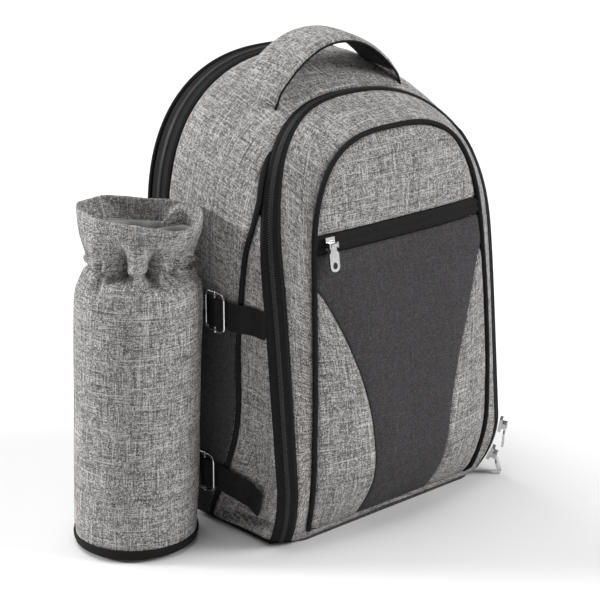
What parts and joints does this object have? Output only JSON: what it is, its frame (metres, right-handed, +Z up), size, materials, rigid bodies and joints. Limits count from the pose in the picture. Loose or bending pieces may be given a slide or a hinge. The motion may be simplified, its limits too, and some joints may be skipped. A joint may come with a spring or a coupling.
{
  "type": "cooler backpack",
  "caption": "Arched soft cooler backpack with zip closures, a front pocket, a padded top handle and shoulder straps, and a gathered bottle holder strapped to its left side.",
  "frame": {"origin": "on the floor under the middle of the bag's base", "axes": "+Z up, -Y out of the face with the pocket, +X towards the side away from the bottle holder"},
  "size_m": [0.4146, 0.2484, 0.4355],
  "materials": {
    "melange": "grey melange weave",
    "charcoal": "charcoal melange weave",
    "black_cloth": "black mesh cloth",
    "piping": "black covered cord",
    "binding": "black woven tape",
    "zip_tape": "black woven tape",
    "zip_coil": "black nylon coil",
    "webbing": "black woven webbing",
    "lining": "smooth grey lining",
    "metal": "polished nickel",
    "plastic": "black moulded plastic"
  },
  "bodies": {
    "bag": {"base_panel": "charcoal", "base_piping": "piping", "back_panel": "black_cloth", "rear_piping": "piping", "rear_zip_tape": "zip_tape", "rear_zip_coil": "zip_coil", "main_gusset": "melange", "side_piping": "piping", "wedge_panel_left": "melange", "wedge_panel_right": "melange", "front_zip_tape": "zip_tape", "front_zip_coil": "zip_coil", "front_gusset": "melange", "front_piping": "piping", "pocket_upper_panel": "melange", "pocket_zip_tape": "zip_tape", "pocket_zip_coil": "zip_coil", "pocket_dark_panel": "charcoal", "pocket_side_panel_left": "melange", "pocket_side_panel_right": "melange", "handle_strap": "melange", "handle_webbing": "webbing", "handle_binding_front": "binding", "handle_binding_rear": "binding", "holder_body": "melange", "holder_collar": "melange", "holder_lining": "lining", "holder_binding": "binding", "side_patch": "charcoal", "side_patch_binding": "binding", "upper_strap": "webbing", "upper_buckle": "metal", "lower_strap": "webbing", "lower_buckle": "metal", "pocket_slider": "metal", "front_upper_slider": "metal", "front_lower_slider": "metal", "rear_slider": "metal", "shoulder_strap_left": "melange", "shoulder_strap_right": "melange", "strap_webbing_left": "webbing", "strap_webbing_right": "webbing", "strap_adjuster_left": "plastic", "strap_adjuster_right": "plastic"},
    "pocket_tab": {"pocket_pull": "metal"},
    "front_upper_tab": {"front_upper_pull": "metal"},
    "front_lower_tab": {"front_lower_pull": "metal"},
    "rear_tab": {"rear_pull": "metal"}
  },
  "joints": [
    {"name": "pocket_tab_hinge", "type": "hinge", "parent": "bag", "child": "pocket_tab", "pos_m": [-0.08772, -0.10122, 0.27521], "axis": [-0.9975, 0.0696, -0.0103], "range_deg": [0, 150]},
    {"name": "front_upper_tab_hinge", "type": "hinge", "parent": "bag", "child": "front_upper_tab", "pos_m": [0.13706, -0.10069, 0.05073], "axis": [-0.8128, -0.5813, -0.0377], "range_deg": [0, 120]},
    {"name": "front_lower_tab_hinge", "type": "hinge", "parent": "bag", "child": "front_lower_tab", "pos_m": [0.1337, -0.09213, 0.01899], "axis": [-0.816, -0.5664, -0.1156], "range_deg": [-30, 80]},
    {"name": "rear_tab_hinge", "type": "hinge", "parent": "bag", "child": "rear_tab", "pos_m": [0.14859, 0.06968, 0.07006], "axis": [0.0227, -0.9997, 0], "range_deg": [0, 120]}
  ]
}
